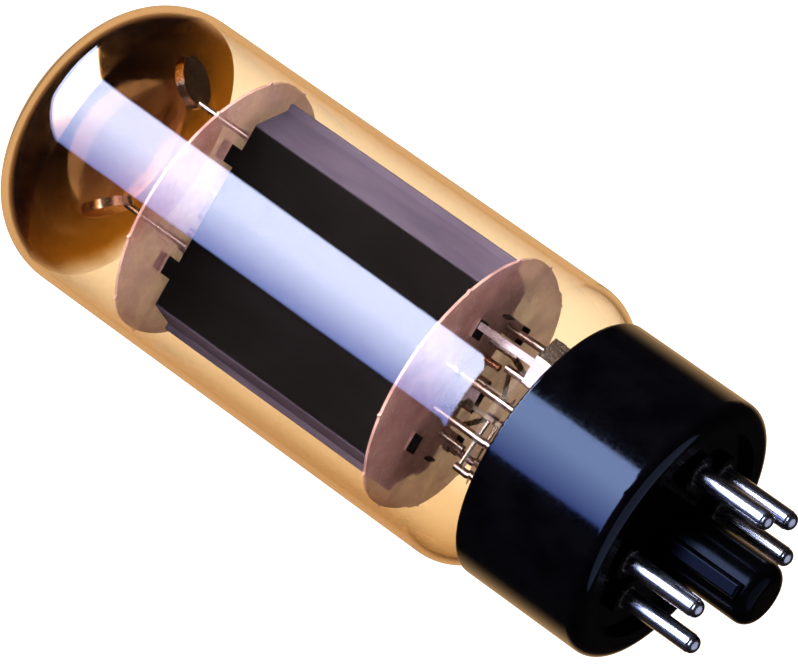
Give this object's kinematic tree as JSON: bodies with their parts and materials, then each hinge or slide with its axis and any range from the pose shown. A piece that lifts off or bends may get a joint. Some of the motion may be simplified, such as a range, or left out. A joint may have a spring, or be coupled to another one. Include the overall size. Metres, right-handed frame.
{
  "type": "vacuum tube",
  "caption": "Beam power vacuum tube: straight glass bulb with a getter-silvered dome, black octal base with keyed spigot, dark box anode between two micas.",
  "frame": {"origin": "centre of the seating plane under the base, on the axis of the spigot", "axes": "+Z along the tube towards the dome of the bulb; the key of the spigot points along -Y"},
  "size_m": [0.0364, 0.0364, 0.1078],
  "materials": {
    "alumina": "sintered white",
    "blackened_metal": "matt dark sheet with a grey-violet sheen",
    "bulb_glass": "clear, faint amber tint",
    "carbonised_metal": "matt grey",
    "cement": "matt, grainy",
    "copper": "polished copper",
    "getter_film": "dark mirror with brown edges",
    "getter_pan": "bright, heat tinted",
    "gold_wire": "bright wire",
    "lead_metal": "polished rod",
    "mica": "translucent, slightly frosted",
    "nickel": "bright nickel",
    "nickel_wire": "bright wire",
    "oxide": "chalky white",
    "phenolic": "polished black moulding",
    "pin_plating": "polished nickel plate",
    "solder": "bright, rounded",
    "stem_glass": "clear"
  },
  "bodies": {
    "root": {"anode_back": "blackened_metal", "anode_front": "blackened_metal", "anode_lead": "lead_metal", "anode_strap_back": "nickel", "anode_strap_front": "nickel", "base_shell": "phenolic", "basing_cement": "cement", "beam_plate_left": "carbonised_metal", "beam_plate_right": "carbonised_metal", "button_stem": "stem_glass", "cathode_bridge": "nickel", "cathode_coating": "oxide", "cathode_lead": "lead_metal", "cathode_sleeve": "nickel", "cathode_strap": "nickel", "control_grid_lead": "lead_metal", "control_grid_rods": "copper", "control_grid_strap": "nickel", "control_grid_winding": "gold_wire", "exhaust_tube": "stem_glass", "getter_flash": "getter_film", "getter_pan_left": "getter_pan", "getter_pan_right": "getter_pan", "getter_post_left": "nickel", "getter_post_right": "nickel", "glass_bulb": "bulb_glass", "heater": "alumina", "heater_lead_a": "lead_metal", "heater_lead_b": "lead_metal", "heater_strap_left": "nickel", "heater_strap_right": "nickel", "lower_mica": "mica", "pin_2": "pin_plating", "pin_3": "pin_plating", "pin_4": "pin_plating", "pin_5": "pin_plating", "pin_7": "pin_plating", "pin_8": "pin_plating", "pin_solder": "solder", "rod_eyelets": "nickel", "screen_grid_lead": "lead_metal", "screen_grid_rods": "nickel", "screen_grid_strap": "nickel", "screen_grid_winding": "nickel_wire", "support_rods": "lead_metal", "upper_mica": "mica"}
  },
  "joints": []
}
